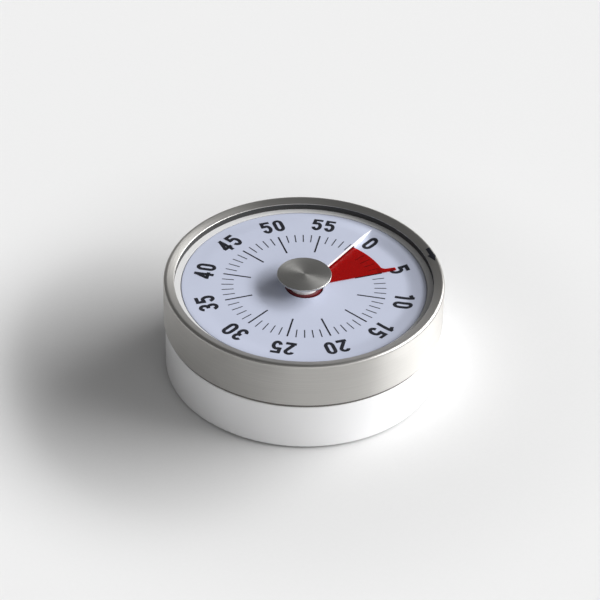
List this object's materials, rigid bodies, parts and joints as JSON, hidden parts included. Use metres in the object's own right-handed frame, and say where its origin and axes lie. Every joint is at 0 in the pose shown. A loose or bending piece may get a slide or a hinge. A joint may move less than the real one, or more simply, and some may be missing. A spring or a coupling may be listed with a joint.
{
  "type": "countdown timer",
  "caption": "Round puck-shaped mechanical countdown timer: white base, steel ring, numbered ramp dial with a red time sector and a small centre knob.",
  "frame": {"origin": "centre of the rest plane under the foot ring", "axes": "+Z leaves the dial, +Y runs from the centre to the dial's 0 mark, and the numbers go round clockwise seen from above"},
  "size_m": [0.08, 0.08, 0.0315],
  "materials": {
    "brushed_steel": "circumferential brushing",
    "white_plastic": "satin moulded ABS",
    "dial_white": "matt printed dial",
    "black_rubber": "soft matt",
    "red_film": "translucent red film",
    "dark_red_plastic": "satin",
    "plate_steel": "zinc-plated sheet steel",
    "brass": "stamped brass",
    "plain_steel": "turned steel",
    "spring_steel": "blued spring steel",
    "bell_steel": "nickel-plated",
    "screw_steel": "zinc-plated",
    "magnet_nickel": "nickel-plated magnet",
    "black_ink": "printed marks"
  },
  "bodies": {
    "case": {"steel_ring": "brushed_steel", "lip_gasket": "black_rubber", "dial_housing": "white_plastic", "base_shell": "white_plastic", "foot_ring": "black_rubber", "magnets": "magnet_nickel", "case_screws": "screw_steel", "dial": "dial_white", "step_wall": "dial_white", "front_plate": "plate_steel", "back_plate": "plate_steel", "plate_pillars": "plain_steel", "pillar_bolts": "screw_steel", "movement_screws": "screw_steel", "mainspring": "spring_steel", "spring_stud": "plain_steel", "bell": "bell_steel", "bell_post": "plain_steel", "bell_screw": "screw_steel"},
    "knob": {"knob_cap": "brushed_steel", "knob_stem": "white_plastic", "main_arbor": "plain_steel", "main_wheel": "brass", "ratchet_wheel": "plain_steel", "click_pin": "plain_steel", "release_cam": "brass"},
    "red_disc": {"red_disc": "red_film", "film_hub": "dark_red_plastic"},
    "click": {"click": "plain_steel"},
    "second_wheel": {"second_wheel": "brass", "second_pinion": "plain_steel"},
    "third_wheel": {"third_wheel": "brass", "third_pinion": "plain_steel"},
    "escape_wheel": {"escape_wheel": "brass", "escape_pinion": "plain_steel"},
    "verge": {"verge_arbor": "plain_steel", "pallet_lever": "plain_steel", "balance_bar": "plain_steel"},
    "hammer": {"hammer_arbor": "plain_steel", "hammer": "plain_steel", "hammer_tail": "plain_steel"}
  },
  "joints": [
    {"name": "knob_turn", "type": "hinge", "parent": "case", "child": "knob", "pos_m": [0, 0, 0.025], "axis": [0, 0, -1], "range_deg": [-30, 330]},
    {"name": "red_disc_rise", "type": "slide", "parent": "knob", "child": "red_disc", "axis": [0, 0, 1], "range_m": [-0.00014, 0.00148]},
    {"name": "click_lift", "type": "hinge", "parent": "knob", "child": "click", "pos_m": [0, 0.0086, 0.0149], "axis": [0, 0, 1], "range_deg": [0, 15], "stiffness_Nm_per_rad": 0.0001},
    {"name": "second_wheel_turn", "type": "hinge", "parent": "case", "child": "second_wheel", "pos_m": [-0.01212, 0.007, 0.015], "axis": [0, 0, -1], "range_deg": [-1990, 190]},
    {"name": "third_wheel_turn", "type": "hinge", "parent": "case", "child": "third_wheel", "pos_m": [-0.00634, 0.01577, 0.015], "axis": [0, 0, -1], "range_deg": [-910, 9910]},
    {"name": "escape_wheel_turn", "type": "hinge", "parent": "case", "child": "escape_wheel", "pos_m": [0.00065, 0.01848, 0.015], "axis": [0, 0, -1], "range_deg": [-39610, 3610]},
    {"name": "verge_rock", "type": "hinge", "parent": "case", "child": "verge", "pos_m": [0.00636, 0.01747, 0.015], "axis": [0, 0, 1], "range_deg": [-6, 6]},
    {"name": "hammer_swing", "type": "hinge", "parent": "case", "child": "hammer", "pos_m": [0.01645, -0.0095, 0.012], "axis": [0, 0, 1], "range_deg": [-4, 5], "stiffness_Nm_per_rad": 0.0002}
  ],
  "couplings": [
    {"joint": "red_disc_rise", "follows": "knob_turn", "m_per_rad": 0.00025465},
    {"joint": "second_wheel_turn", "follows": "knob_turn", "ratio": -6},
    {"joint": "third_wheel_turn", "follows": "knob_turn", "ratio": 30},
    {"joint": "escape_wheel_turn", "follows": "knob_turn", "ratio": -120}
  ]
}
